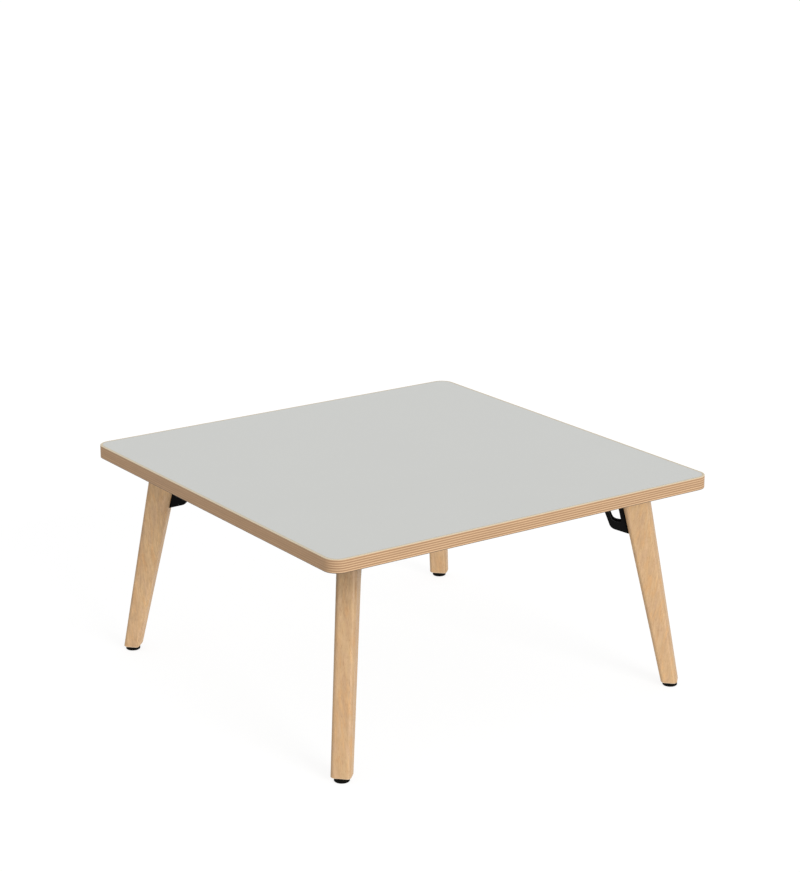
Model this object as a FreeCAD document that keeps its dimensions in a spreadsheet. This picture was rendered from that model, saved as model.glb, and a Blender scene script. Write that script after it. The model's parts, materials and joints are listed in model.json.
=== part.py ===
import FreeCAD, Part
import Sketcher
import math
import os
from FreeCAD import Placement, Rotation, Vector

# Square low table: laminated plywood top, four splayed tapered wooden legs,
# each held by a pressed-steel bracket, with screw-adjustable foot pads.
# Frame: origin on the floor below the middle of the top, +Z up, millimetres.
# Each leg is drawn in a radial frame: X runs outward from the table's middle
# along the leg's diagonal, Y across it, Z up; the placement turns it to its corner.

doc = FreeCAD.newDocument("low_table")
sheet = doc.addObject("Spreadsheet::Sheet", "dims")

DIMENSIONS = [
    # top
    ("top_side", 750.0),
    ("table_height", 377.5),
    ("top_corner_round", 24.0),
    ("laminate_thk", 1.0),
    ("laminate_margin", 4.2),
    ("laminate_joint", 0.1),
    ("core_thk", 21.0),
    ("backing_thk", 1.0),
    ("rim_round", 1.0),
    ("backing_bevel", 0.25),
    # legs, radial positions measured from the table's vertical axis
    ("leg_inner_top", 378.7),
    ("leg_inner_lean", 13.225),
    ("leg_depth_top", 47.7),
    ("leg_depth_foot", 27.8),
    ("leg_width", 33.0),
    ("leg_round_top", 7.5),
    ("leg_round_foot", 6.5),
    ("leg_end_level", 7.5),
    ("leg_end_bevel", 1.5),
    # leg brackets
    ("sheet_thk", 2.5),
    ("bracket_width", 19.4),
    ("cheek_top_inner", 337.8),
    ("cheek_corner_out", 367.8),
    ("cheek_corner_level", 278.2),
    ("cheek_foot_level", 269.6),
    ("cheek_corner_round", 14.0),
    ("window_strip", 8.7),
    ("window_arm", 7.2),
    ("window_sill_in", 290.5),
    ("window_sill_out", 288.5),
    ("window_head", 341.5),
    ("window_round_big", 11.0),
    ("window_round_small", 2.5),
    ("flange_outer", 375.0),
    ("flange_span", 64.0),
    ("flange_round", 6.0),
    ("bend_round", 3.0),
    ("flange_hole_near", 347.5),
    ("flange_hole_far", 365.5),
    ("flange_hole_side", 21.5),
    ("clearance_hole_rad", 3.3),
    # fasteners
    ("screw_rad", 3.0),
    ("screw_length", 16.0),
    ("bolt_length", 20.0),
    ("head_rad", 5.25),
    ("head_thk", 3.3),
    ("head_crown_rad", 3.1),
    ("key_across_flats", 4.0),
    ("key_depth", 2.1),
    ("washer_rad", 6.0),
    ("washer_hole_rad", 3.2),
    ("washer_thk", 1.6),
    ("insert_rad", 5.0),
    ("insert_room_rad", 5.1),
    ("insert_bore_rad", 3.05),
    ("top_insert_length", 14.0),
    ("leg_insert_length", 17.0),
    ("bolt_drop_upper", 19.0),
    ("bolt_drop_lower", 67.0),
    # levelling feet
    ("glide_out", 475.0),
    ("pad_rad", 12.5),
    ("pad_height", 6.5),
    ("pad_base_rad", 11.6),
    ("pad_toe", 0.9),
    ("pad_shoulder", 1.3),
    ("pad_bore_rad", 4.05),
    ("pad_floor_thk", 1.55),
    ("pad_pocket_rad", 7.55),
    ("pad_pocket_roof", 4.25),
    ("grip_rad", 1.1),
    ("grip_pitch_rad", 13.15),
    ("grip_count", 18.0),
    ("stem_rad", 4.0),
    ("stem_head_rad", 7.5),
    ("stem_head_low", 1.6),
    ("stem_head_high", 4.2),
    ("stem_end", 29.0),
    ("stem_end_bevel", 0.8),
    ("socket_rad", 5.5),
    ("socket_bore_rad", 4.05),
    ("socket_end", 27.0),
    ("socket_flange_rad", 9.0),
    ("socket_flange_low", 6.6),
    ("stem_room_rad", 4.6),
    ("stem_room_end", 37.0),
]

for row, (alias, value) in enumerate(DIMENSIONS, start=1):
    sheet.set("A%d" % row, alias)
    sheet.set("B%d" % row, repr(value))
    sheet.setAlias("B%d" % row, alias)
doc.recompute()


class Size:
    """A length that carries its value and the sheet expression it comes from."""

    def __init__(self, value, text):
        self.value = float(value)
        self.text = text

    @staticmethod
    def of(other):
        if isinstance(other, Size):
            return other
        return Size(other, "%.9g" % other)

    def __add__(self, other):
        o = Size.of(other)
        return Size(self.value + o.value, "(%s + %s)" % (self.text, o.text))

    def __radd__(self, other):
        return Size.of(other) + self

    def __sub__(self, other):
        o = Size.of(other)
        return Size(self.value - o.value, "(%s - %s)" % (self.text, o.text))

    def __rsub__(self, other):
        return Size.of(other) - self

    def __mul__(self, other):
        o = Size.of(other)
        return Size(self.value * o.value, "(%s * %s)" % (self.text, o.text))

    def __rmul__(self, other):
        return Size.of(other) * self

    def __truediv__(self, other):
        o = Size.of(other)
        return Size(self.value / o.value, "(%s / %s)" % (self.text, o.text))

    def __neg__(self):
        return Size(-self.value, "(0 - %s)" % self.text)


def dim(alias):
    return Size(float(sheet.get(alias)), "dims." + alias)


def tan_of(angle):
    return Size(math.tan(math.radians(angle.value)), "tan(%s * 1 deg)" % angle.text)


def cos_of(angle):
    return Size(math.cos(math.radians(angle.value)), "cos(%s * 1 deg)" % angle.text)


# ---------------------------------------------------------------- levels and lines
laminate_level = dim("table_height") - dim("laminate_thk")
core_level = dim("table_height") - dim("core_thk")
under_level = core_level - dim("backing_thk")
lean = dim("leg_inner_lean")
lean_tan = tan_of(lean)


def leg_face(level):
    """Radial position of a leg's inner face at a level."""
    return dim("leg_inner_top") + (under_level - level) * lean_tan


cheek_slope = (dim("cheek_corner_out") - dim("cheek_top_inner")) / (under_level - dim("cheek_corner_level"))


def cheek_edge(level):
    """Radial position of a bracket cheek's free edge at a level."""
    return dim("cheek_top_inner") + (under_level - level) * cheek_slope


# ---------------------------------------------------------------- sketch helpers
def new_body(label):
    body = doc.addObject("PartDesign::Body", label)
    body.Label = label
    return body


def origin_feature(body, role):
    for feature in body.Origin.OriginFeatures:
        if feature.Role == role:
            return feature
    raise RuntimeError("no %s in %s" % (role, body.Label))


def new_sketch(body, name, role, offset=None):
    sk = body.newObject("Sketcher::SketchObject", name)
    sk.AttachmentSupport = [(origin_feature(body, role), "")]
    sk.MapMode = "FlatFace"
    if offset is not None:
        sk.AttachmentOffset = Placement(Vector(0, 0, offset.value), Rotation())
        sk.setExpression("AttachmentOffset.Base.z", offset.text)
    return sk


def hold(sk, kind, *args):
    """Adds a dimensional constraint whose value is bound to the sheet."""
    size = args[-1]
    index = sk.addConstraint(Sketcher.Constraint(kind, *args[:-1], size.value))
    sk.setExpression("Constraints[%d]" % index, size.text)


def pin_point(sk, geo, pos, x, y):
    x, y = Size.of(x), Size.of(y)
    if abs(x.value) < 1e-9:
        sk.addConstraint(Sketcher.Constraint("PointOnObject", geo, pos, -2))
    else:
        hold(sk, "DistanceX", -1, 1, geo, pos, x)
    if abs(y.value) < 1e-9:
        sk.addConstraint(Sketcher.Constraint("PointOnObject", geo, pos, -1))
    else:
        hold(sk, "DistanceY", -1, 1, geo, pos, y)


def polygon(sk, points):
    points = [(Size.of(x), Size.of(y)) for x, y in points]
    n = len(points)
    ids = []
    for i in range(n):
        a, b = points[i], points[(i + 1) % n]
        ids.append(
            sk.addGeometry(
                Part.LineSegment(Vector(a[0].value, a[1].value, 0), Vector(b[0].value, b[1].value, 0)), False
            )
        )
    for i in range(n):
        sk.addConstraint(Sketcher.Constraint("Coincident", ids[i], 2, ids[(i + 1) % n], 1))
    for i in range(n):
        pin_point(sk, ids[i], 1, *points[i])
    return ids


def circle(sk, x, y, radius):
    x, y, radius = Size.of(x), Size.of(y), Size.of(radius)
    geo = sk.addGeometry(Part.Circle(Vector(x.value, y.value, 0), Vector(0, 0, 1), radius.value), False)
    pin_point(sk, geo, 3, x, y)
    hold(sk, "Radius", geo, radius)


def rounded_rect(sk, x0, x1, y0, y1, radius):
    a, b, c, d, r = (Size.of(q).value for q in (x0, x1, y0, y1, radius))
    up = Vector(0, 0, 1)

    def line(p, q):
        return sk.addGeometry(Part.LineSegment(Vector(p[0], p[1], 0), Vector(q[0], q[1], 0)), False)

    def arc(cx, cy, start):
        s = math.radians(start)
        return sk.addGeometry(
            Part.ArcOfCircle(Part.Circle(Vector(cx, cy, 0), up, r), s, s + math.pi / 2), False
        )

    l0 = line((a + r, c), (b - r, c))
    a0 = arc(b - r, c + r, -90)
    l1 = line((b, c + r), (b, d - r))
    a1 = arc(b - r, d - r, 0)
    l2 = line((b - r, d), (a + r, d))
    a2 = arc(a + r, d - r, 90)
    l3 = line((a, d - r), (a, c + r))
    a3 = arc(a + r, c + r, 180)
    ring = [l0, a0, l1, a1, l2, a2, l3, a3]
    for i in range(8):
        sk.addConstraint(Sketcher.Constraint("Tangent", ring[i], 2, ring[(i + 1) % 8], 1))
    sk.addConstraint(Sketcher.Constraint("Horizontal", l0))
    sk.addConstraint(Sketcher.Constraint("Vertical", l1))
    for other in (a1, a2, a3):
        sk.addConstraint(Sketcher.Constraint("Equal", a0, other))
    hold(sk, "Radius", a0, Size.of(radius))
    hold(sk, "DistanceY", -1, 1, l0, 1, Size.of(y0))
    hold(sk, "DistanceX", -1, 1, l1, 1, Size.of(x1))
    hold(sk, "DistanceY", -1, 1, l2, 1, Size.of(y1))
    hold(sk, "DistanceX", -1, 1, l3, 1, Size.of(x0))


# ---------------------------------------------------------------- feature helpers
def pad(body, name, sk, length, symmetric=False):
    f = body.newObject("PartDesign::Pad", name)
    f.Profile = sk
    f.SideType = "Symmetric" if symmetric else "One side"
    f.setExpression("Length", length.text)
    doc.recompute()
    return f


def pocket(body, name, sk, length, symmetric=False, along_normal=False):
    before = body.Tip.Shape.Volume
    f = body.newObject("PartDesign::Pocket", name)
    f.Profile = sk
    f.SideType = "Symmetric" if symmetric else "One side"
    f.Reversed = along_normal
    f.setExpression("Length", length.text)
    doc.recompute()
    if not f.Shape.Volume < before - 1e-3:
        raise RuntimeError("%s of %s removed nothing" % (name, body.Label))
    return f


def revolve(body, name, sk):
    f = body.newObject("PartDesign::Revolution", name)
    f.Profile = sk
    f.ReferenceAxis = (sk, ["V_Axis"])
    f.Angle = 360.0
    doc.recompute()
    return f


def edges_where(shape, test):
    return ["Edge%d" % (i + 1) for i, e in enumerate(shape.Edges) if test(e)]


def ends(edge):
    return [v.Point for v in edge.Vertexes]


def dress(body, kind, name, edges, size):
    base = body.Tip
    if not edges:
        raise RuntimeError("%s of %s found no edges" % (name, body.Label))
    f = body.newObject("PartDesign::" + kind, name)
    f.Base = (base, edges)
    f.setExpression("Radius" if kind == "Fillet" else "Size", size.text)
    doc.recompute()
    return f


def near(a, b, tol=1e-3):
    return abs(a - b) < tol


def level_edges(shape, level):
    """Edges that lie wholly at one level."""
    return edges_where(shape, lambda e: near(e.BoundBox.ZMin, level) and near(e.BoundBox.ZMax, level))


def bar_edges(shape, x, z, tol=0.05):
    """Edges that run across the radial plane through one point of it."""
    return edges_where(
        shape,
        lambda e: near(e.BoundBox.XMin, x, tol)
        and near(e.BoundBox.XMax, x, tol)
        and near(e.BoundBox.ZMin, z, tol)
        and near(e.BoundBox.ZMax, z, tol),
    )


# corner name and the direction of its diagonal, degrees from +X
CORNERS = [("front", -135.0), ("right", -45.0), ("back", 45.0), ("left", 135.0)]
nodes = []


def turned(angle):
    return Placement(Vector(0, 0, 0), Rotation(Vector(0, 0, 1), angle))


# ---------------------------------------------------------------- the top
half = dim("top_side") / 2
DIAG = math.sqrt(0.5)


def insert_circles(sk, radius):
    """The four flange screws of one corner, on the +X +Y diagonal."""
    for out in (dim("flange_hole_near"), dim("flange_hole_far")):
        for sign in (-1.0, 1.0):
            side = dim("flange_hole_side") * sign
            circle(sk, (out - side) * DIAG, (out + side) * DIAG, radius)


def four_corners(body, name, feature):
    f = body.newObject("PartDesign::PolarPattern", name)
    f.Originals = [feature]
    f.Axis = (origin_feature(body, "Z_Axis"), [""])
    f.Angle = 360.0
    f.Occurrences = 4
    body.Tip = f
    doc.recompute()
    return f


# plywood panel, its upper edge rounded, its top sunk inside a narrow margin for the laminate
core = new_body("top_core")
sk = new_sketch(core, "core_outline", "XY_Plane", core_level)
rounded_rect(sk, -half, half, -half, half, dim("top_corner_round"))
pad(core, "core_pad", sk, dim("core_thk"))
dress(core, "Fillet", "core_rim", level_edges(core.Tip.Shape, dim("table_height").value), dim("rim_round"))
sk = new_sketch(core, "core_bed_outline", "XY_Plane", dim("table_height"))
bed = half - dim("laminate_margin")
rounded_rect(sk, -bed, bed, -bed, bed, dim("top_corner_round") - dim("laminate_margin"))
pocket(core, "core_bed", sk, dim("laminate_thk"))
sk = new_sketch(core, "core_insert_holes", "XY_Plane", core_level)
insert_circles(sk, dim("insert_rad"))
hole = pocket(core, "core_insert_pocket", sk, dim("top_insert_length") - dim("backing_thk"), along_normal=True)
four_corners(core, "core_insert_pattern", hole)
nodes.append(core)

# decorative laminate, let in flush with the margin, a fine joint all round it
laminate = new_body("top_laminate")
sk = new_sketch(laminate, "laminate_outline", "XY_Plane", laminate_level)
inset = bed - dim("laminate_joint")
rounded_rect(
    sk, -inset, inset, -inset, inset, dim("top_corner_round") - dim("laminate_margin") - dim("laminate_joint")
)
pad(laminate, "laminate_pad", sk, dim("laminate_thk"))
nodes.append(laminate)

# balancing laminate under the panel
backing = new_body("underside_laminate")
sk = new_sketch(backing, "backing_outline", "XY_Plane", under_level)
rounded_rect(sk, -half, half, -half, half, dim("top_corner_round"))
pad(backing, "backing_pad", sk, dim("backing_thk"))
dress(backing, "Chamfer", "backing_rim", level_edges(backing.Tip.Shape, under_level.value), dim("backing_bevel"))
sk = new_sketch(backing, "backing_insert_holes", "XY_Plane", under_level)
insert_circles(sk, dim("insert_room_rad"))
hole = pocket(backing, "backing_insert_pocket", sk, dim("backing_thk") * 4, symmetric=True)
four_corners(backing, "backing_insert_pattern", hole)
nodes.append(backing)


# ---------------------------------------------------------------- legs
def on_leg_face(body, name):
    """A sketch on a leg's inner face: its origin at the face's upper end, its x up
    the face, its normal pointing to the table's middle."""
    sk = body.newObject("Sketcher::SketchObject", name)
    sk.AttachmentSupport = [(origin_feature(body, "XY_Plane"), "")]
    sk.MapMode = "FlatFace"
    sk.AttachmentOffset = Placement(
        Vector(dim("leg_inner_top").value, 0, under_level.value),
        Rotation(Vector(0, 1, 0), -(90.0 + lean.value)),
    )
    sk.setExpression("AttachmentOffset.Base.x", dim("leg_inner_top").text)
    sk.setExpression("AttachmentOffset.Base.z", under_level.text)
    return sk


def make_leg(corner, angle):
    body = new_body(corner + "_leg")
    bevel = dim("leg_end_bevel")
    foot_level = dim("leg_end_level") + bevel
    foot_in = leg_face(foot_level)
    foot_out = foot_in + dim("leg_depth_foot")
    side = dim("leg_width") / 2
    foot = new_sketch(body, corner + "_leg_foot", "XY_Plane", foot_level)
    rounded_rect(foot, foot_in, foot_out, -side, side, dim("leg_round_foot"))
    head = new_sketch(body, corner + "_leg_head", "XY_Plane", under_level)
    top_in = dim("leg_inner_top")
    rounded_rect(head, top_in, top_in + dim("leg_depth_top"), -side, side, dim("leg_round_top"))
    loft = body.newObject("PartDesign::AdditiveLoft", corner + "_leg_taper")
    loft.Profile = foot
    loft.Sections = [head]
    loft.Ruled = True
    doc.recompute()
    # broken edge round the leg's end
    toe = new_sketch(body, corner + "_leg_toe", "XY_Plane", dim("leg_end_level"))
    toe_side = side - bevel
    rounded_rect(
        toe, foot_in + bevel, foot_out - bevel, -toe_side, toe_side, dim("leg_round_foot") - bevel
    )
    sole = new_sketch(body, corner + "_leg_sole", "XY_Plane", foot_level)
    rounded_rect(sole, foot_in, foot_out, -side, side, dim("leg_round_foot"))
    loft = body.newObject("PartDesign::AdditiveLoft", corner + "_leg_bevel")
    loft.Profile = toe
    loft.Sections = [sole]
    loft.Ruled = True
    doc.recompute()
    sk = on_leg_face(body, corner + "_leg_bolt_holes")
    for drop in (dim("bolt_drop_upper"), dim("bolt_drop_lower")):
        circle(sk, -drop, 0, dim("insert_rad"))
    pocket(body, corner + "_leg_bolt_pocket", sk, dim("leg_insert_length") + 2)
    sk = new_sketch(body, corner + "_leg_socket_hole", "XY_Plane", dim("leg_end_level"))
    circle(sk, dim("glide_out"), 0, dim("socket_rad"))
    pocket(body, corner + "_leg_socket_pocket", sk, dim("socket_end") - dim("leg_end_level"), along_normal=True)
    sk = new_sketch(body, corner + "_leg_stem_room", "XY_Plane", dim("socket_end"))
    circle(sk, dim("glide_out"), 0, dim("stem_room_rad"))
    pocket(body, corner + "_leg_stem_pocket", sk, dim("stem_room_end") - dim("socket_end"), along_normal=True)
    body.Placement = turned(angle)
    nodes.append(body)


# ---------------------------------------------------------------- leg brackets
def make_bracket(corner, angle):
    body = new_body(corner + "_bracket")
    foot_level = dim("cheek_foot_level")
    # cheeks: one prism of the bracket's full width, opened up by the later pockets
    sk = new_sketch(body, corner + "_cheek_outline", "XZ_Plane")
    polygon(
        sk,
        [
            (dim("leg_inner_top"), under_level),
            (leg_face(foot_level), foot_level),
            (dim("cheek_corner_out"), dim("cheek_corner_level")),
            (dim("cheek_top_inner"), under_level),
        ],
    )
    pad(body, corner + "_cheek_pad", sk, dim("bracket_width"), symmetric=True)
    dress(
        body,
        "Fillet",
        corner + "_cheek_corner",
        bar_edges(body.Tip.Shape, dim("cheek_corner_out").value, dim("cheek_corner_level").value),
        dim("cheek_corner_round"),
    )
    # the two bends beside the web that lies on the leg
    y_out = dim("bracket_width").value / 2

    def web_bend(e):
        p = ends(e)
        return (
            len(p) == 2
            and near(abs(p[0].y), y_out)
            and near(p[0].y, p[1].y)
            and abs(p[0].z - p[1].z) > 50
            and all(abs(q.x - leg_face(Size.of(q.z)).value) < 0.05 for q in p)
        )

    dress(body, "Fillet", corner + "_web_bends", edges_where(body.Tip.Shape, web_bend), dim("bend_round"))
    # flanges under the top
    sk = new_sketch(body, corner + "_flange_section", "XZ_Plane")
    low = under_level - dim("sheet_thk")
    polygon(
        sk,
        [
            (dim("cheek_top_inner"), under_level),
            (dim("cheek_top_inner"), low),
            (dim("flange_outer"), low),
            (dim("flange_outer"), under_level),
        ],
    )
    pad(body, corner + "_flange_pad", sk, dim("flange_span"), symmetric=True)
    reach = dim("flange_span").value / 2

    def flange_corner(e):
        p = ends(e)
        return len(p) == 2 and all(near(abs(q.y), reach) for q in p) and near(p[0].x, p[1].x) and near(
            abs(p[0].z - p[1].z), dim("sheet_thk").value
        )

    dress(
        body, "Fillet", corner + "_flange_corners", edges_where(body.Tip.Shape, flange_corner), dim("flange_round")
    )
    # the space between the cheeks, open to the middle, top and bottom
    web = dim("sheet_thk") / cos_of(lean)
    high, deep = under_level + 5, foot_level - 8
    sk = new_sketch(body, corner + "_channel", "XZ_Plane")
    polygon(
        sk,
        [
            (leg_face(high) - web, high),
            (leg_face(deep) - web, deep),
            (dim("cheek_top_inner") - 10, deep),
            (dim("cheek_top_inner") - 10, high),
        ],
    )
    pocket(
        body, corner + "_channel_pocket", sk, dim("bracket_width") - dim("sheet_thk") * 2, symmetric=True
    )
    # a window in each cheek
    sill_in, sill_out, head = dim("window_sill_in"), dim("window_sill_out"), dim("window_head")
    strip, arm = dim("window_strip"), dim("window_arm")
    corners = [
        (leg_face(head) - strip, head),
        (leg_face(sill_out) - strip, sill_out),
        (cheek_edge(sill_in) + arm, sill_in),
        (cheek_edge(head) + arm, head),
    ]
    sk = new_sketch(body, corner + "_window", "XZ_Plane")
    polygon(sk, corners)
    pocket(body, corner + "_window_pocket", sk, dim("flange_span"), symmetric=True)
    big = bar_edges(body.Tip.Shape, corners[2][0].value, corners[2][1].value)
    dress(body, "Fillet", corner + "_window_big", big, dim("window_round_big"))
    small = []
    for i in (0, 1, 3):
        small += bar_edges(body.Tip.Shape, corners[i][0].value, corners[i][1].value)
    dress(body, "Fillet", corner + "_window_small", small, dim("window_round_small"))
    # holes for the flange screws and the leg bolts
    sk = new_sketch(body, corner + "_flange_holes", "XY_Plane", under_level)
    for out in (dim("flange_hole_near"), dim("flange_hole_far")):
        for sign in (-1.0, 1.0):
            circle(sk, out, dim("flange_hole_side") * sign, dim("clearance_hole_rad"))
    pocket(body, corner + "_flange_hole_pocket", sk, dim("sheet_thk") * 4, symmetric=True)
    sk = on_leg_face(body, corner + "_web_holes")
    for drop in (dim("bolt_drop_upper"), dim("bolt_drop_lower")):
        circle(sk, -drop, 0, dim("clearance_hole_rad"))
    pocket(body, corner + "_web_hole_pocket", sk, dim("sheet_thk") * 3, symmetric=True)
    body.Placement = turned(angle)
    nodes.append(body)


# ---------------------------------------------------------------- fasteners
def make_screw(label, length):
    """Button-head socket screw: underside of the head at z 0, shank down, head up."""
    body = new_body(label)
    sk = new_sketch(body, label + "_section", "XZ_Plane")
    r, head = dim("screw_rad"), dim("head_thk")
    polygon(
        sk,
        [
            (0, -length),
            (r - 0.8, -length),
            (r, 0.8 - length),
            (r, 0),
            (dim("head_rad"), 0),
            (dim("head_rad"), head * 0.28),
            (dim("head_rad") * 0.87, head * 0.72),
            (dim("head_crown_rad"), head),
            (0, head),
        ],
    )
    revolve(body, label + "_turned", sk)
    sk = new_sketch(body, label + "_key", "XY_Plane", head)
    flat = dim("key_across_flats") / 2
    tip = flat * (2.0 / math.sqrt(3.0))
    polygon(
        sk,
        [(tip, 0), (tip / 2, flat), (-tip / 2, flat), (-tip, 0), (-tip / 2, -flat), (tip / 2, -flat)],
    )
    pocket(body, label + "_key_pocket", sk, dim("key_depth"))
    return body


def make_sleeve(label, outer, bore, length):
    """Threaded insert: mouth at z 0, body down; plain bore for the thread."""
    body = new_body(label)
    sk = new_sketch(body, label + "_section", "XZ_Plane")
    polygon(
        sk,
        [
            (bore + 0.6, 0),
            (outer, 0),
            (outer, 0.8 - length),
            (outer - 0.8, -length),
            (bore, -length),
            (bore, -0.6),
        ],
    )
    revolve(body, label + "_turned", sk)
    return body


def make_washer(label):
    body = new_body(label)
    sk = new_sketch(body, label + "_outline", "XY_Plane")
    circle(sk, 0, 0, dim("washer_rad"))
    circle(sk, 0, 0, dim("washer_hole_rad"))
    pad(body, label + "_pad", sk, dim("washer_thk"))
    return body


def make_socket(label):
    """Flanged insert in a leg's end, drawn at its real level on the Z axis."""
    body = new_body(label)
    sk = new_sketch(body, label + "_section", "XZ_Plane")
    low, end, level = dim("socket_flange_low"), dim("socket_end"), dim("leg_end_level")
    bore = dim("socket_bore_rad")
    polygon(
        sk,
        [
            (bore, low),
            (dim("socket_flange_rad"), low),
            (dim("socket_flange_rad"), level),
            (dim("socket_rad"), level),
            (dim("socket_rad"), end - 0.8),
            (dim("socket_rad") - 0.8, end),
            (bore, end),
        ],
    )
    revolve(body, label + "_turned", sk)
    return body


def group(label, master, places):
    links = []
    for i, place in enumerate(places):
        link = doc.addObject("App::Link", "%s_%02d" % (label, i + 1))
        link.LinkedObject = master
        link.LinkTransform = False
        link.Placement = place
        links.append(link)
    comp = doc.addObject("Part::Compound", label)
    comp.Label = label
    comp.Links = links
    nodes.append(comp)


def on_flange(angle, out, side, level):
    """Place below the top whose z points down to the floor."""
    return turned(angle).multiply(Placement(Vector(out, side, level), Rotation(Vector(1, 0, 0), 180)))


def on_web(angle, drop, lift):
    """Place on a leg's inner face, drop mm down it, whose z points to the middle."""
    face = Placement(
        Vector(dim("leg_inner_top").value, 0, under_level.value),
        Rotation(Vector(0, 1, 0), -(90.0 + lean.value)),
    )
    return turned(angle).multiply(face).multiply(Placement(Vector(-drop, 0, lift), Rotation()))


def on_foot(angle):
    a = math.radians(angle)
    out = dim("glide_out").value
    return Placement(Vector(out * math.cos(a), out * math.sin(a), 0), Rotation(Vector(0, 0, 1), angle))


# ---------------------------------------------------------------- levelling feet
def stand_at_foot(body, angle):
    body.Placement = on_foot(angle)
    a = math.radians(angle)
    body.setExpression("Placement.Base.x", (dim("glide_out") * math.cos(a)).text)
    body.setExpression("Placement.Base.y", (dim("glide_out") * math.sin(a)).text)


def make_pad(corner, angle):
    """Moulded pad that closes over the head of its stem, with finger grips round the rim."""
    body = new_body(corner + "_glide_pad")
    sk = new_sketch(body, corner + "_pad_section", "XZ_Plane")
    rad, high, bore = dim("pad_rad"), dim("pad_height"), dim("pad_bore_rad")
    roof, floor, room = dim("pad_pocket_roof"), dim("pad_floor_thk"), dim("pad_pocket_rad")
    polygon(
        sk,
        [
            (0, 0),
            (dim("pad_base_rad"), 0),
            (rad, dim("pad_toe")),
            (rad, high - dim("pad_shoulder")),
            (rad - dim("pad_shoulder"), high),
            (bore, high),
            (bore, roof),
            (room, roof),
            (room, floor),
            (0, floor),
        ],
    )
    revolve(body, corner + "_pad_turned", sk)
    sk = new_sketch(body, corner + "_pad_grip", "XY_Plane", dim("pad_toe"))
    circle(sk, dim("grip_pitch_rad"), 0, dim("grip_rad"))
    grip = pocket(body, corner + "_pad_grip_pocket", sk, dim("pad_height"), along_normal=True)
    f = body.newObject("PartDesign::PolarPattern", corner + "_pad_grips")
    f.Originals = [grip]
    f.Axis = (origin_feature(body, "Z_Axis"), [""])
    f.Angle = 360.0
    f.setExpression("Occurrences", dim("grip_count").text)
    body.Tip = f
    doc.recompute()
    stand_at_foot(body, angle)
    nodes.append(body)


def make_stem(corner, angle):
    body = new_body(corner + "_glide_stem")
    sk = new_sketch(body, corner + "_stem_section", "XZ_Plane")
    rad, end, bevel = dim("stem_rad"), dim("stem_end"), dim("stem_end_bevel")
    low, high = dim("stem_head_low"), dim("stem_head_high")
    polygon(
        sk,
        [
            (0, low),
            (dim("stem_head_rad"), low),
            (dim("stem_head_rad"), high),
            (rad, high),
            (rad, end - bevel),
            (rad - bevel, end),
            (0, end),
        ],
    )
    revolve(body, corner + "_stem_turned", sk)
    stand_at_foot(body, angle)
    nodes.append(body)


for corner, angle in CORNERS:
    make_leg(corner, angle)
    make_bracket(corner, angle)
    make_pad(corner, angle)
    make_stem(corner, angle)

flange_spots = [
    (out, side)
    for out in (dim("flange_hole_near").value, dim("flange_hole_far").value)
    for side in (-dim("flange_hole_side").value, dim("flange_hole_side").value)
]
drops = [dim("bolt_drop_upper").value, dim("bolt_drop_lower").value]
sheet_thk = dim("sheet_thk").value
flange_low = under_level.value - sheet_thk

group(
    "bracket_screws",
    make_screw("short_screw", dim("screw_length")),
    [on_flange(a, out, side, flange_low) for _, a in CORNERS for out, side in flange_spots],
)
group(
    "top_inserts",
    make_sleeve("top_sleeve", dim("insert_rad"), dim("insert_bore_rad"), dim("top_insert_length")),
    [on_flange(a, out, side, under_level.value) for _, a in CORNERS for out, side in flange_spots],
)
group(
    "leg_bolts",
    make_screw("long_screw", dim("bolt_length")),
    [on_web(a, d, sheet_thk + dim("washer_thk").value) for _, a in CORNERS for d in drops],
)
group("leg_washers", make_washer("washer"), [on_web(a, d, sheet_thk) for _, a in CORNERS for d in drops])
group(
    "leg_inserts",
    make_sleeve("leg_sleeve", dim("insert_rad"), dim("insert_bore_rad"), dim("leg_insert_length")),
    [on_web(a, d, 0.0) for _, a in CORNERS for d in drops],
)
group("glide_inserts", make_socket("foot_socket"), [on_foot(a) for _, a in CORNERS])

# ---------------------------------------------------------------- checks and files
doc.recompute()
for obj in doc.Objects:
    if "Invalid" in obj.State or "Error" in obj.State:
        raise RuntimeError("%s failed: %s" % (obj.Label, obj.State))
for node in nodes:
    shape = node.Shape
    if shape.isNull() or not shape.isValid():
        raise RuntimeError("%s has no valid shape" % node.Label)
    if not shape.Solids:
        raise RuntimeError("%s has no solid" % node.Label)

os.makedirs("parts", exist_ok=True)
for node in nodes:
    node.Shape.exportStep("parts/%s.step" % node.Label)
    box = node.Shape.BoundBox
    print(
        "%-22s solids %2d  volume %10.1f  z %7.2f to %7.2f"
        % (node.Label, len(node.Shape.Solids), node.Shape.Volume, box.ZMin, box.ZMax)
    )
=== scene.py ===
import json
import math

import bmesh
import bpy
from mathutils import Matrix, Vector

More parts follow.
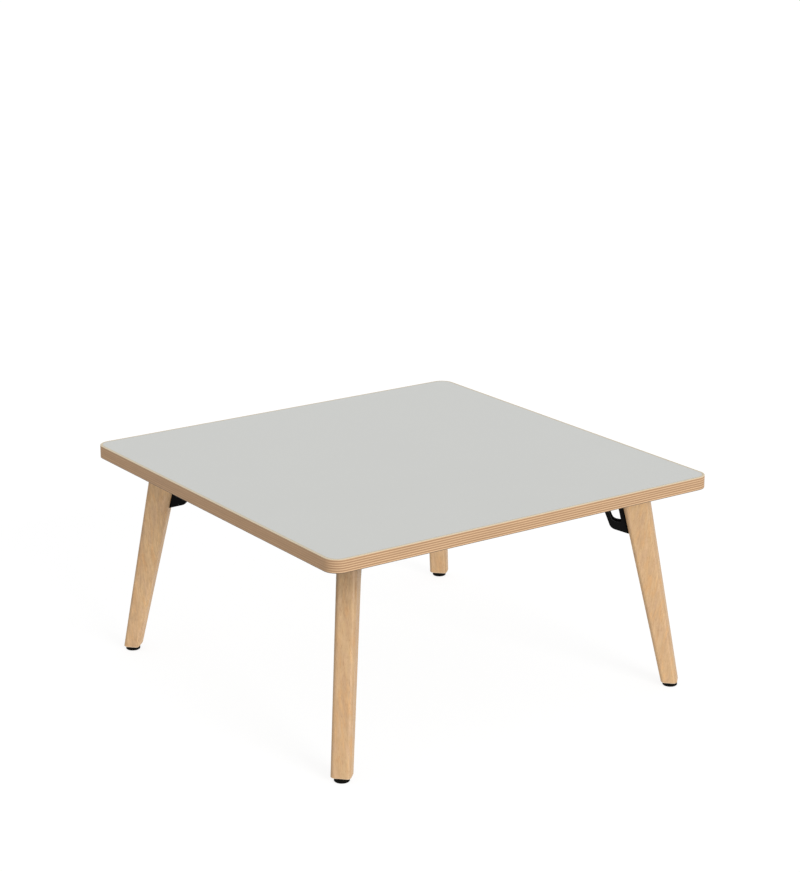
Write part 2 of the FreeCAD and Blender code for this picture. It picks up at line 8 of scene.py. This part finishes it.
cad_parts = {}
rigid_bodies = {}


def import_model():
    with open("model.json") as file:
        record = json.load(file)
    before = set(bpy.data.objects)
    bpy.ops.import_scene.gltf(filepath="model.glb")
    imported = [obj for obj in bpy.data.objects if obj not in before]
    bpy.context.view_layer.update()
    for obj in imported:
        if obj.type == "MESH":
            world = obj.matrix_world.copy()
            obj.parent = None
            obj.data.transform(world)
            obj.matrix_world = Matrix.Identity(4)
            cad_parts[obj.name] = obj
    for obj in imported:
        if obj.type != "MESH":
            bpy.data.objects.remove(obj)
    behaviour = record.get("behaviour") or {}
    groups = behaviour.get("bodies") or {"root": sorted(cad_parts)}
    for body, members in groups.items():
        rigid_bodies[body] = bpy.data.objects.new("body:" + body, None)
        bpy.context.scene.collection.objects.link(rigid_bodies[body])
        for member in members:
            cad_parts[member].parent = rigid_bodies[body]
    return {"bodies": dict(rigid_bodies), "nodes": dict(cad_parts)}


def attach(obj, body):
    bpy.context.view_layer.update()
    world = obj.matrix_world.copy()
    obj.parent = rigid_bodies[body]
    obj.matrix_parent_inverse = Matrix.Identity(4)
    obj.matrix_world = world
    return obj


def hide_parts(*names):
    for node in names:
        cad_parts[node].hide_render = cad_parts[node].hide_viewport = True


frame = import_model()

nodes = frame["nodes"]
scene = bpy.context.scene
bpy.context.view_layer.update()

# Corners of the table and the direction of each from the middle of the top.
CORNERS = [("front", -135.0), ("right", -45.0), ("back", 45.0), ("left", 135.0)]

# Heights of the panel's layers and of the leg ends above the floor, in metres.
CORE_LOW = 0.3565
CORE_THK = 0.021
PLY_COUNT = 11
LEG_TOP = 0.3555
LEG_END = 0.0075


# ---------------------------------------------------------------- colour and node helpers

def rgb(r, g, b):
    """Display colour, 0 to 255, as a scene-linear colour."""
    def line(c):
        c /= 255.0
        return c / 12.92 if c <= 0.04045 else ((c + 0.055) / 1.055) ** 2.4
    return (line(r), line(g), line(b), 1.0)


class Graph:
    """A material and short names for the nodes that it is made of."""

    def __init__(self, name):
        self.material = bpy.data.materials.new(name)
        self.material.use_nodes = True
        self.tree = self.material.node_tree
        self.tree.nodes.clear()
        self.out = self.add("ShaderNodeOutputMaterial")
        self.bsdf = self.add("ShaderNodeBsdfPrincipled")
        self.tree.links.new(self.bsdf.outputs["BSDF"], self.out.inputs["Surface"])
        self.place = self.add("ShaderNodeTexCoord").outputs["Object"]

    def add(self, kind, **settings):
        node = self.tree.nodes.new(kind)
        for key, value in settings.items():
            setattr(node, key, value)
        return node

    def feed(self, socket, value):
        if isinstance(value, bpy.types.NodeSocket):
            self.tree.links.new(value, socket)
        else:
            socket.default_value = value

    def math(self, op, a, b=0.0, c=0.0, clamp=False):
        node = self.add("ShaderNodeMath", operation=op, use_clamp=clamp)
        for socket, value in zip(node.inputs, (a, b, c)):
            self.feed(socket, value)
        return node.outputs[0]

    def vec(self, op, a, b=(0.0, 0.0, 0.0)):
        node = self.add("ShaderNodeVectorMath", operation=op)
        self.feed(node.inputs[0], a)
        self.feed(node.inputs[1], b)
        return node.outputs["Value"] if op in ("DOT_PRODUCT", "LENGTH") else node.outputs["Vector"]

    def split(self, vector):
        node = self.add("ShaderNodeSeparateXYZ")
        self.feed(node.inputs[0], vector)
        return node.outputs[0], node.outputs[1], node.outputs[2]

    def join(self, x, y, z):
        node = self.add("ShaderNodeCombineXYZ")
        for socket, value in zip(node.inputs, (x, y, z)):
            self.feed(socket, value)
        return node.outputs[0]

    def noise(self, vector, scale, detail=2.0, rough=0.5, bend=0.0):
        node = self.add("ShaderNodeTexNoise", noise_dimensions="3D")
        self.feed(node.inputs["Vector"], vector)
        node.inputs["Scale"].default_value = scale
        node.inputs["Detail"].default_value = detail
        node.inputs["Roughness"].default_value = rough
        node.inputs["Distortion"].default_value = bend
        return node.outputs["Fac"]

    def cells(self, vector, scale, feature="F1", output="Distance"):
        node = self.add("ShaderNodeTexVoronoi", feature=feature)
        self.feed(node.inputs["Vector"], vector)
        node.inputs["Scale"].default_value = scale
        return node.outputs[output]

    def chance(self, value):
        node = self.add("ShaderNodeTexWhiteNoise", noise_dimensions="1D")
        self.feed(node.inputs["W"], value)
        return node.outputs["Value"]

    def span(self, value, low, high, to_low=0.0, to_high=1.0, smooth=False):
        node = self.add("ShaderNodeMapRange", clamp=True)
        node.interpolation_type = "SMOOTHSTEP" if smooth else "LINEAR"
        self.feed(node.inputs["Value"], value)
        node.inputs["From Min"].default_value = low
        node.inputs["From Max"].default_value = high
        node.inputs["To Min"].default_value = to_low
        node.inputs["To Max"].default_value = to_high
        return node.outputs["Result"]

    def ramp(self, value, stops):
        node = self.add("ShaderNodeValToRGB")
        self.feed(node.inputs["Fac"], value)
        marks = node.color_ramp.elements
        while len(marks) < len(stops):
            marks.new(0.5)
        for mark, (where, shade) in zip(marks, stops):
            mark.position = where
            mark.color = shade if isinstance(shade, tuple) else (shade, shade, shade, 1.0)
        return node.outputs["Color"]

    def mix(self, share, a, b, how="MIX"):
        node = self.add("ShaderNodeMix", data_type="RGBA", blend_type=how, clamp_factor=True)
        self.feed(node.inputs["Factor"], share)
        sockets = [s for s in node.inputs if s.type == "RGBA"]
        self.feed(sockets[0], a)
        self.feed(sockets[1], b)
        return [s for s in node.outputs if s.type == "RGBA"][0]

    def blend(self, share, a, b):
        """Number between a and b."""
        node = self.add("ShaderNodeMix", data_type="FLOAT", clamp_factor=True)
        sockets = [s for s in node.inputs if s.type == "VALUE"]
        self.feed(sockets[0], share)
        self.feed(sockets[1], a)
        self.feed(sockets[2], b)
        return [s for s in node.outputs if s.type == "VALUE"][0]

    def tone(self, colour, factor):
        """Colour made lighter or darker by a factor that varies over the surface."""
        return self.vec("MULTIPLY", colour[:3] if isinstance(colour, tuple) else colour, factor)

    def normal(self):
        return self.add("ShaderNodeNewGeometry").outputs["True Normal"]

    def soft_edge(self, radius):
        node = self.add("ShaderNodeBevel", samples=4)
        node.inputs["Radius"].default_value = radius
        return node.outputs["Normal"]

    def arris(self, radius):
        """1 along sharp edges, 0 on flats."""
        node = self.add("ShaderNodeBevel", samples=4)
        node.inputs["Radius"].default_value = radius
        turn = self.vec("DOT_PRODUCT", node.outputs["Normal"], self.normal())
        return self.span(turn, 0.995, 0.85, 0.0, 1.0)

    def bump(self, height, strength, distance, base=None):
        node = self.add("ShaderNodeBump")
        self.feed(node.inputs["Height"], height)
        node.inputs["Strength"].default_value = strength
        node.inputs["Distance"].default_value = distance
        if base is not None:
            self.feed(node.inputs["Normal"], base)
        return node.outputs["Normal"]

    def finish(self, colour, rough, normal=None, **fixed):
        self.feed(self.bsdf.inputs["Base Color"], colour)
        self.feed(self.bsdf.inputs["Roughness"], rough)
        if normal is not None:
            self.feed(self.bsdf.inputs["Normal"], normal)
        for key, value in fixed.items():
            self.bsdf.inputs[key.replace("_", " ")].default_value = value
        return self.material


def dress(node_name, material):
    mesh = nodes[node_name].data
    mesh.materials.clear()
    mesh.materials.append(material)


# ---------------------------------------------------------------- wood of the legs

def leg_wood(corner, degrees, seed, depth, head_painted_shade, upper_painted_shading, slant, curl, figure, turned_side_shade, opposite_side_light):
    """Pale close-grained hardwood, each leg cut from another board and a little askew to its grain."""
    g = Graph(corner + "_leg_wood")
    a, lean = math.radians(degrees), math.radians(11.665)
    out = Vector((math.cos(a), math.sin(a), 0.0))
    side = Vector((-math.sin(a), math.cos(a), 0.0))
    up = Vector((0.0, 0.0, 1.0))
    along = out * math.sin(lean) - up * math.cos(lean)
    deep = out * math.cos(lean) + up * math.sin(lean)
    start = out * 0.40255 + up * LEG_TOP
    rel = g.vec("SUBTRACT", g.place, tuple(start))
    x = g.vec("DOT_PRODUCT", rel, tuple(side))
    y = g.vec("DOT_PRODUCT", rel, tuple(deep))
    z = g.vec("DOT_PRODUCT", rel, tuple(along))
    shift = (seed * 1.37, seed * 2.11, seed * 0.73)

    # Grain that runs out of the leg where the board was cut askew, and drifts a little on its way.
    drift = g.noise(g.vec("ADD", g.join(0.0, 0.0, z), shift), 9.0, 1.0)
    drift = g.math("MULTIPLY", g.math("SUBTRACT", drift, 0.5), 0.016)
    gx = g.math("ADD", x, drift)
    gx = g.math("SUBTRACT", gx, g.math("MULTIPLY", g.math("MULTIPLY", z, z), curl))
    gy = g.math("ADD", y, g.math("MULTIPLY", drift, -0.7))
    gy = g.math("ADD", gy, g.math("MULTIPLY", z, slant))

    broad = g.noise(g.vec("ADD", g.join(gx, gy, g.math("MULTIPLY", z, 0.20)), shift), 62.0, 2.0, 0.55, 0.6)
    tint = g.noise(g.vec("ADD", g.join(gx, gy, g.math("MULTIPLY", z, 0.24)), (shift[2], shift[0], shift[1])), 120.0, 2.0, 0.5, 0.8)
    streak = g.noise(g.vec("ADD", g.join(gx, gy, g.math("MULTIPLY", z, 0.12)), shift), 420.0, 3.0, 0.6, 0.3)
    mottle = g.noise(g.vec("ADD", g.join(gx, gy, g.math("MULTIPLY", z, 0.30)), (shift[1], shift[2], shift[0])), 150.0, 3.0, 0.55, 1.0)
    fibre = g.noise(g.vec("ADD", g.join(gx, gy, g.math("MULTIPLY", z, 0.03)), shift), 1500.0, 2.0, 0.6)
    pores = g.noise(g.vec("ADD", g.join(gx, gy, g.math("MULTIPLY", z, 0.11)), shift), 760.0, 2.0, 0.6)
    vessel = g.noise(g.vec("ADD", g.join(gx, gy, g.math("MULTIPLY", z, 0.07)), (shift[2], shift[0], shift[1])), 2300.0, 1.0, 0.5)

    # Growth rings round a heart that lies outside the leg.
    sway = g.noise(g.vec("ADD", g.join(gx, gy, g.math("MULTIPLY", z, 0.30)), shift), 30.0, 2.0)
    heart = g.join(
        g.math("ADD", gx, 0.034 + 0.006 * seed),
        g.math("ADD", gy, 0.058 - 0.009 * seed),
        0.0,
    )
    ring = g.math("ADD", g.math("MULTIPLY", g.vec("LENGTH", heart), 190.0), g.math("MULTIPLY", sway, 4.2))
    late = g.ramp(g.math("FRACT", ring), [(0.0, 0.55), (0.14, 0.0), (0.55, 0.16), (0.86, 0.70), (1.0, 0.55)])

    colour = g.mix(g.span(broad, 0.34, 0.66), rgb(189, 157, 117), rgb(184, 150, 113))
    colour = g.mix(g.span(tint, 0.52, 0.70, 0.0, 0.8), colour, rgb(187, 154, 120))
    colour = g.mix(g.span(tint, 0.48, 0.30, 0.0, 0.8), colour, rgb(195, 154, 108))
    brown = g.mix(1.0, colour, rgb(226, 205, 182), "MULTIPLY")
    colour = g.mix(g.math("MULTIPLY", late, 0.20), colour, brown)
    colour = g.tone(colour, g.span(broad, 0.34, 0.66, 1.0 + 0.024 * figure, 1.0 - 0.024 * figure))
    colour = g.tone(colour, g.span(mottle, 0.30, 0.70, 1.0 - 0.045 * figure, 1.0 + 0.04 * figure))
    colour = g.tone(colour, g.span(streak, 0.25, 0.75, 1.0 - 0.065 * figure, 1.0 + 0.06 * figure))
    colour = g.tone(colour, g.span(fibre, 0.25, 0.75, 0.945, 1.055))
    fleck = g.span(pores, 0.62, 0.71, 0.0, 0.32)
    colour = g.mix(fleck, colour, g.mix(1.0, colour, rgb(200, 172, 146), "MULTIPLY"))
    slit = g.span(vessel, 0.60, 0.67, 0.0, 0.42)
    colour = g.mix(slit, colour, g.mix(1.0, colour, rgb(196, 164, 134), "MULTIPLY"))

    # Each board has its own depth of colour. Towards the head of the leg, under the overhanging top, painted shade
    # darkens it, reaching further down on one side; on the upper half the front board carries a further painted shade
    # and the left board a painted lightening.
    reach = g.math("ADD", z, g.math("MULTIPLY", gx, 0.8))
    reach = g.math("ADD", reach, g.math("MULTIPLY", g.math("SUBTRACT", streak, 0.5), 0.05))
    reach = g.math("ADD", reach, g.math("MULTIPLY", g.math("SUBTRACT", tint, 0.5), 0.05))
    colour = g.tone(colour, g.span(reach, 0.02, 0.115, depth * head_painted_shade, depth, True))
    colour = g.tone(colour, g.span(reach, 0.07, 0.22, upper_painted_shading, 1.0, True))

    # Painted shade darkens the rounded arrises, which are also a little smoother; the bevel of the end is paler where
    # it is fresh cut.
    half = g.span(z, 0.0, 0.3558, 0.02335, 0.0136)
    near_side = g.span(g.math("ABSOLUTE", x), 0.0115, 0.0163, 0.0, 1.0, True)
    near_deep = g.span(g.math("DIVIDE", g.math("ABSOLUTE", y), half), 0.62, 1.0, 0.0, 1.0, True)
    painted_edge_shade = g.math("MULTIPLY", near_side, near_deep)
    colour = g.tone(colour, g.span(painted_edge_shade, 0.05, 0.9, 1.0, 0.83))

    # Painted shade darkens the faces turned towards +X and -Y, and on one board painted light brightens the faces
    # turned the opposite way.
    painted_side_facing = g.vec("DOT_PRODUCT", g.normal(), (math.sqrt(0.5), -math.sqrt(0.5), 0.0))
    colour = g.tone(colour, g.span(painted_side_facing, 0.15, 0.85, 1.0, turned_side_shade, True))
    colour = g.tone(colour, g.span(painted_side_facing, -0.15, -0.85, 1.0, opposite_side_light, True))
    height = g.split(g.place)[2]
    cut = g.span(height, LEG_END + 0.0016, LEG_END + 0.0011, 0.0, 0.55)
    colour = g.mix(cut, colour, rgb(236, 212, 182))

    rough = g.span(g.math("ADD", g.math("MULTIPLY", fibre, 0.6), g.math("MULTIPLY", broad, 0.4)), 0.3, 0.7, 0.46, 0.60)
    rough = g.math("SUBTRACT", rough, g.math("MULTIPLY", painted_edge_shade, 0.07))
    relief = g.math("ADD", g.math("MULTIPLY", fibre, 0.5), g.math("MULTIPLY", streak, 0.35))
    relief = g.math("SUBTRACT", relief, g.math("MULTIPLY", fleck, 0.4))
    relief = g.math("SUBTRACT", relief, g.math("MULTIPLY", slit, 0.6))
    return g.finish(colour, rough, g.bump(relief, 0.22, 0.0003), Specular_IOR_Level=0.32)


# For each board: depth of colour, the painted shade at its head and the painted shading of its upper half, how far its
# grain runs out and curls off the leg, how strong its figure is, and the painted shade on one side and the painted
# light on the opposite one.
BOARDS = {
    "front": (0.88, 0.61, 0.925, 0.02, 0.25, 1.0, 0.95, 1.0),
    "right": (0.955, 0.98, 1.0, 0.36, 0.0, 1.15, 0.86, 1.12),
    "back": (0.975, 1.0, 1.0, -0.06, -0.10, 1.3, 0.85, 1.0),
    "left": (0.957, 0.95, 1.035, 0.25, 0.04, 2.2, 1.0, 1.0),
}
for number, (corner, degrees) in enumerate(CORNERS):
    dress(corner + "_leg", leg_wood(corner, degrees, number + 1.0, *BOARDS[corner]))


# ---------------------------------------------------------------- layered panel

def plywood():
    """Hardwood veneers laid crosswise: the bare edge shows them in turn along and across their grain."""
    g = Graph("plywood_edge")
    x, y, z = g.split(g.place)
    nx, ny, nz = g.split(g.normal())
    thk = CORE_THK / PLY_COUNT
    wave = g.noise(g.vec("MULTIPLY", g.place, (1.0, 1.0, 0.3)), 14.0, 2.0, 0.5)
    level = g.math("DIVIDE", g.math("SUBTRACT", z, CORE_LOW), thk)
    level = g.math("ADD", level, g.math("MULTIPLY", g.math("SUBTRACT", wave, 0.5), 0.16))
    layer = g.math("FLOOR", level)
    across = g.math("FRACT", level)
    odd = g.math("FLOORED_MODULO", layer, 2.0)

    # Layers stand out most on the sides where the odd ones show their end grain.
    past_x = g.math("MAXIMUM", g.math("SUBTRACT", g.math("ABSOLUTE", x), 0.351), 0.0)
    past_y = g.math("MAXIMUM", g.math("SUBTRACT", g.math("ABSOLUTE", y), 0.351), 0.0)
    faces_y = g.math("DIVIDE", past_y, g.vec("LENGTH", g.join(past_x, past_y, 1e-6)))
    apart = g.span(g.math("MULTIPLY", faces_y, faces_y), 0.0, 0.40, 0.18, 0.74, True)
    dark = g.math("MULTIPLY_ADD", g.math("SUBTRACT", odd, 0.5), apart, 0.5)

    # The same veneer has its grain along X in even layers and along Y in odd ones.
    along_x = g.vec("ADD", g.vec("MULTIPLY", g.place, (30.0, 900.0, 900.0)), (3.1, 7.7, 1.9))
    along_y = g.vec("ADD", g.vec("MULTIPLY", g.place, (900.0, 30.0, 900.0)), (8.3, 2.9, 5.7))
    pick = g.add("ShaderNodeMix", data_type="VECTOR")
    sockets = [s for s in pick.inputs if s.type == "VECTOR"]
    g.feed([s for s in pick.inputs if s.type == "VALUE"][0], odd)
    g.feed(sockets[0], along_x)
    g.feed(sockets[1], along_y)
    grain = g.noise([s for s in pick.outputs if s.type == "VECTOR"][0], 1.0, 3.0, 0.62)
    patch = g.noise(g.vec("MULTIPLY", g.place, (14.0, 14.0, 260.0)), 1.0, 2.0, 0.5)
    own = g.chance(g.math("ADD", layer, 17.0))

    colour = g.mix(dark, rgb(182, 151, 119), rgb(138, 107, 79))
    colour = g.tone(colour, g.span(own, 0.0, 1.0, 0.955, 1.045))
    colour = g.tone(colour, g.span(grain, 0.25, 0.75, 0.90, 1.09))
    colour = g.tone(colour, g.span(patch, 0.3, 0.7, 0.95, 1.05))
    seam = g.math("MINIMUM", across, g.math("SUBTRACT", 1.0, across))
    glue = g.span(seam, 0.10, 0.03, 0.0, 0.42)
    colour = g.mix(glue, colour, rgb(96, 68, 47))

    # The margin round the laminate is the face veneer, pale and smooth; on its rounded edge painted shade darkens the
    # -Y side and painted light brightens the other sides.
    face = g.span(nz, 0.12, 0.60)
    along = g.noise(g.vec("MULTIPLY", g.place, (26.0, 700.0, 700.0)), 1.0, 3.0, 0.6)
    veneer = g.tone(rgb(200, 188, 165), g.span(along, 0.25, 0.75, 0.94, 1.05))
    painted_edge_shade = g.math("MULTIPLY", g.span(nz, 0.98, 0.55), g.span(ny, 0.0, -0.5, -0.09, 0.23))
    veneer = g.tone(veneer, g.math("SUBTRACT", 1.0, painted_edge_shade))
    colour = g.mix(face, colour, veneer)

    rough = g.span(grain, 0.3, 0.7, 0.52, 0.66)
    relief = g.math("SUBTRACT", g.math("MULTIPLY", grain, 0.5), g.math("MULTIPLY", glue, 0.7))
    base = g.soft_edge(0.0006)
    return g.finish(colour, rough, g.bump(relief, 0.25, 0.0002, base), Specular_IOR_Level=0.12)


dress("top_core", plywood())


def laminate(name, face, core, fleck_low, fleck_high):
    """Printed sheet pressed on the panel: finely pebbled face, and a brown cut edge."""
    g = Graph(name)
    nx, ny, nz = g.split(g.normal())
    pebble = g.noise(g.place, 1900.0, 2.0, 0.55)
    grit = g.noise(g.vec("ADD", g.place, (4.0, 1.0, 2.0)), 520.0, 3.0, 0.6)
    cloud = g.noise(g.vec("ADD", g.place, (1.0, 6.0, 3.0)), 7.0, 3.0, 0.55)
    colour = g.tone(face, g.span(pebble, 0.25, 0.75, fleck_low, fleck_high))
    colour = g.tone(colour, g.span(grit, 0.25, 0.75, 0.988, 1.012))
    colour = g.tone(colour, g.span(cloud, 0.3, 0.7, 0.990, 1.010))
    cut = g.span(g.math("ABSOLUTE", nz), 0.97, 0.85)
    colour = g.mix(cut, colour, g.tone(core, g.span(grit, 0.25, 0.75, 0.95, 1.05)))
    rough = g.math("ADD", g.span(cloud, 0.3, 0.7, 0.44, 0.50), g.span(pebble, 0.2, 0.8, -0.03, 0.03))
    base = g.soft_edge(0.0005)
    return g.finish(colour, rough, g.bump(pebble, 0.12, 0.00012, base), Specular_IOR_Level=0.4)


dress("top_laminate", laminate("grey_laminate", rgb(193, 194, 191), rgb(150, 138, 120), 0.985, 1.015))
dress("underside_laminate", laminate("backing_laminate", rgb(180, 177, 170), rgb(92, 72, 54), 0.975, 1.02))


# ---------------------------------------------------------------- steel, screws and plastic

def black_steel():
    """Black powder coat on folded sheet: fine orange peel, a trace of grey on the edges."""
    g = Graph("black_powder_coat")
    peel = g.noise(g.place, 1100.0, 2.0, 0.5)
    dust = g.noise(g.place, 60.0, 3.0, 0.6)
    speck = g.noise(g.place, 3200.0, 1.0, 0.5)
    edge = g.arris(0.0007)
    scuff = g.math("MULTIPLY", edge, g.span(g.noise(g.place, 240.0, 3.0, 0.7), 0.45, 0.65))
    colour = g.mix(g.span(speck, 0.3, 0.7), rgb(7, 7, 7), rgb(12, 12, 12))
    colour = g.mix(g.math("MULTIPLY", scuff, 0.5), colour, rgb(54, 53, 52))
    rough = g.math("ADD", g.span(dust, 0.3, 0.7, 0.50, 0.60), g.span(peel, 0.2, 0.8, -0.04, 0.04))
    base = g.soft_edge(0.0006)
    return g.finish(colour, rough, g.bump(peel, 0.25, 0.00012, base), Specular_IOR_Level=0.045)


def black_screw():
    """Black-oxide socket screws, the coat rubbed through a little on the rims."""
    g = Graph("black_oxide_screw")
    grime = g.noise(g.place, 420.0, 3.0, 0.6)
    edge = g.arris(0.0005)
    rubbed = g.math("MULTIPLY", edge, g.span(grime, 0.4, 0.62))
    colour = g.mix(g.span(grime, 0.3, 0.7), rgb(34, 34, 36), rgb(48, 47, 47))
    colour = g.mix(g.math("MULTIPLY", rubbed, 0.7), colour, rgb(128, 126, 122))
    rough = g.span(grime, 0.3, 0.7, 0.34, 0.50)
    base = g.soft_edge(0.0004)
    return g.finish(colour, rough, g.bump(grime, 0.12, 0.0001, base), Metallic=0.75)


def zinc_steel(name, shade_low, shade_high):
    """Bright zinc plating with faint cloudy tarnish and turning marks."""
    g = Graph(name)
    cloud = g.noise(g.place, 260.0, 3.0, 0.6)
    turned = g.noise(g.vec("MULTIPLY", g.place, (120.0, 120.0, 5200.0)), 1.0, 2.0, 0.5)
    colour = g.mix(g.span(cloud, 0.3, 0.7), shade_low, shade_high)
    colour = g.tone(colour, g.span(turned, 0.3, 0.7, 0.93, 1.05))
    rough = g.math("ADD", g.span(cloud, 0.3, 0.7, 0.26, 0.40), g.span(turned, 0.2, 0.8, -0.05, 0.05))
    return g.finish(colour, rough, g.bump(turned, 0.15, 0.00008, g.soft_edge(0.0003)), Metallic=1.0)


def black_nylon():
    """Moulded black plastic: fine eroded texture, greyed where the rim and the sole rub."""
    g = Graph("black_nylon")
    grain = g.noise(g.place, 1700.0, 2.0, 0.6)
    rub = g.noise(g.vec("MULTIPLY", g.place, (1.0, 1.0, 3.0)), 330.0, 3.0, 0.65)
    height = g.split(g.place)[2]
    low = g.span(height, 0.0022, 0.0)
    edge = g.math("MAXIMUM", g.arris(0.0006), low)
    colour = g.mix(g.span(grain, 0.3, 0.7), rgb(8, 7, 6), rgb(13, 12, 10))
    colour = g.mix(g.math("MULTIPLY", edge, g.span(rub, 0.42, 0.66, 0.0, 0.30)), colour, rgb(52, 51, 49))
    rough = g.span(rub, 0.3, 0.7, 0.48, 0.62)
    return g.finish(colour, rough, g.bump(grain, 0.2, 0.0001, g.soft_edge(0.0006)), Specular_IOR_Level=0.04)


steel, screw, nylon = black_steel(), black_screw(), black_nylon()
bright = zinc_steel("zinc_steel", rgb(176, 177, 178), rgb(206, 206, 204))
for corner, _ in CORNERS:
    dress(corner + "_bracket", steel)
    dress(corner + "_glide_pad", nylon)
    dress(corner + "_glide_stem", bright)
for name in ("bracket_screws", "leg_bolts"):
    dress(name, screw)
dress("leg_washers", screw)
for name in ("top_inserts", "leg_inserts", "glide_inserts"):
    dress(name, bright)


# ---------------------------------------------------------------- threaded stems of the feet

def threaded_stem(corner, degrees):
    """The foot's stem with its M8 thread cut as a true right-hand helix, pitch 1.25 mm."""
    a = math.radians(degrees)
    cx, cy = 0.475 * math.cos(a), 0.475 * math.sin(a)
    pitch, outer, depth, turns = 0.00125, 0.004, 0.00068, 48
    low, top, bevel = 0.0042, 0.029, 0.0008
    steps = 200

    def groove(phase):
        phase %= 1.0
        if phase < 0.125:
            return 0.0
        if phase < 0.4375:
            return (phase - 0.125) / 0.3125
        if phase < 0.6875:
            return 1.0
        return (1.0 - phase) / 0.3125

    mesh = bmesh.new()
    rings = []
    centre_low = mesh.verts.new((cx, cy, 0.0016))
    for radius, z in ((0.0072, 0.0016), (0.0075, 0.0019), (0.0075, 0.0039), (0.0072, 0.0042), (0.0040, 0.0042)):
        rings.append([
            mesh.verts.new((cx + radius * math.cos(t), cy + radius * math.sin(t), z))
            for t in (2.0 * math.pi * k / turns for k in range(turns))
        ])
    for i in range(steps + 1):
        z = low + 0.0002 + (top - low - 0.0002) * i / steps
        ring = []
        for k in range(turns):
            t = 2.0 * math.pi * k / turns
            fade = min(1.0, max(0.0, (z - low - 0.0008) / 0.0012))
            radius = outer - depth * fade * groove(z / pitch - k / turns)
            radius = min(radius, outer - max(0.0, z - (top - bevel)))
            ring.append(mesh.verts.new((cx + radius * math.cos(t), cy + radius * math.sin(t), z)))
        rings.append(ring)
    centre_top = mesh.verts.new((cx, cy, top))
    for first, second in zip(rings, rings[1:]):
        for k in range(turns):
            n = (k + 1) % turns
            mesh.faces.new((first[k], first[n], second[n], second[k]))
    for k in range(turns):
        n = (k + 1) % turns
        mesh.faces.new((centre_low, rings[0][n], rings[0][k]))
        mesh.faces.new((centre_top, rings[-1][k], rings[-1][n]))
    for face in mesh.faces:
        face.smooth = True
    data = bpy.data.meshes.new(corner + "_stem_thread")
    mesh.to_mesh(data)
    mesh.free()
    data.materials.append(bright)
    piece = bpy.data.objects.new(corner + "_stem_thread", data)
    scene.collection.objects.link(piece)
    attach(piece, corner + "_stem")
    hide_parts(corner + "_glide_stem")
    return piece


for corner, degrees in CORNERS:
    threaded_stem(corner, degrees)


# ---------------------------------------------------------------- floor, light and camera

def pale_floor():
    g = Graph("pale_floor")
    g.tree.nodes.remove(g.bsdf)
    matt = g.add("ShaderNodeBsdfDiffuse")
    matt.inputs["Color"].default_value = (0.9, 0.9, 0.9, 1.0)
    lit = g.add("ShaderNodeEmission")
    lit.inputs["Color"].default_value = (1.0, 1.0, 1.0, 1.0)
    lit.inputs["Strength"].default_value = 1.05
    both = g.add("ShaderNodeMixShader")
    both.inputs[0].default_value = 0.80
    g.tree.links.new(matt.outputs[0], both.inputs[1])
    g.tree.links.new(lit.outputs[0], both.inputs[2])
    clear = g.add("ShaderNodeBsdfTransparent")
    sides = g.add("ShaderNodeMixShader")
    g.tree.links.new(g.add("ShaderNodeNewGeometry").outputs["Backfacing"], sides.inputs[0])
    g.tree.links.new(both.outputs[0], sides.inputs[1])
    g.tree.links.new(clear.outputs[0], sides.inputs[2])
    g.tree.links.new(sides.outputs[0], g.out.inputs["Surface"])
    return g.material


sheet = bpy.data.meshes.new("studio_floor")
reach = 60.0
sheet.from_pydata(
    [(-reach, -reach, 0.0), (reach, -reach, 0.0), (reach, reach, 0.0), (-reach, reach, 0.0)], [], [(0, 1, 2, 3)]
)
sheet.materials.append(pale_floor())
floor = bpy.data.objects.new("studio_floor", sheet)
scene.collection.objects.link(floor)

# The floor lies under the lowest foot, also when feet are screwed out.
for corner, _ in CORNERS:
    under = floor.constraints.new("FLOOR")
    under.target = frame["bodies"][corner + "_pad"]
    under.floor_location = "FLOOR_NEGATIVE_Z"


def white_studio():
    """Even white light all round, and a backdrop as white as the floor."""
    made = bpy.data.worlds.new("studio")
    made.use_nodes = True
    tree = made.node_tree
    tree.nodes.clear()
    shares = tree.nodes.new("ShaderNodeMixShader")
    for number, strength in ((1, 0.85), (2, 1.0)):
        glow = tree.nodes.new("ShaderNodeBackground")
        glow.inputs["Color"].default_value = (1.0, 1.0, 1.0, 1.0)
        glow.inputs["Strength"].default_value = strength
        tree.links.new(glow.outputs[0], shares.inputs[number])
    tree.links.new(tree.nodes.new("ShaderNodeLightPath").outputs["Is Camera Ray"], shares.inputs[0])
    tree.links.new(shares.outputs[0], tree.nodes.new("ShaderNodeOutputWorld").inputs["Surface"])
    return made


scene.world = white_studio()


def sun(name, towards, strength, angle):
    data = bpy.data.lights.new(name, "SUN")
    data.energy = strength
    data.angle = math.radians(angle)
    lamp = bpy.data.objects.new(name, data)
    lamp.rotation_mode = "QUATERNION"
    lamp.rotation_quaternion = Vector(towards).to_track_quat("Z", "Y")
    scene.collection.objects.link(lamp)
    return lamp


sun("key_light", (0.05, -0.96, 0.27), 2.72, 28.0)

scene.view_settings.view_transform = "Standard"
scene.view_settings.look = "None"
scene.view_settings.exposure = 0.0
scene.view_settings.gamma = 1.0

lens = bpy.data.cameras.new("camera")
lens.sensor_width = 36.0
lens.lens = 93.565
lens.clip_start, lens.clip_end = 0.05, 200.0
camera = bpy.data.objects.new("camera", lens)
scene.collection.objects.link(camera)
turn, rise, roll = (math.radians(d) for d in (-34.9329, 16.3878, -0.0093))
back = Vector((math.sin(turn) * math.cos(rise), -math.cos(turn) * math.cos(rise), math.sin(rise)))
right = Vector((math.cos(turn), math.sin(turn), 0.0))
above = back.cross(right)
right, above = (
    right * math.cos(roll) + above * math.sin(roll),
    above * math.cos(roll) - right * math.sin(roll),
)
basis = Matrix((right, above, back)).transposed().to_4x4()
camera.matrix_world = Matrix.Translation((-2.101134, -3.020259, 1.499695)) @ basis
scene.camera = camera
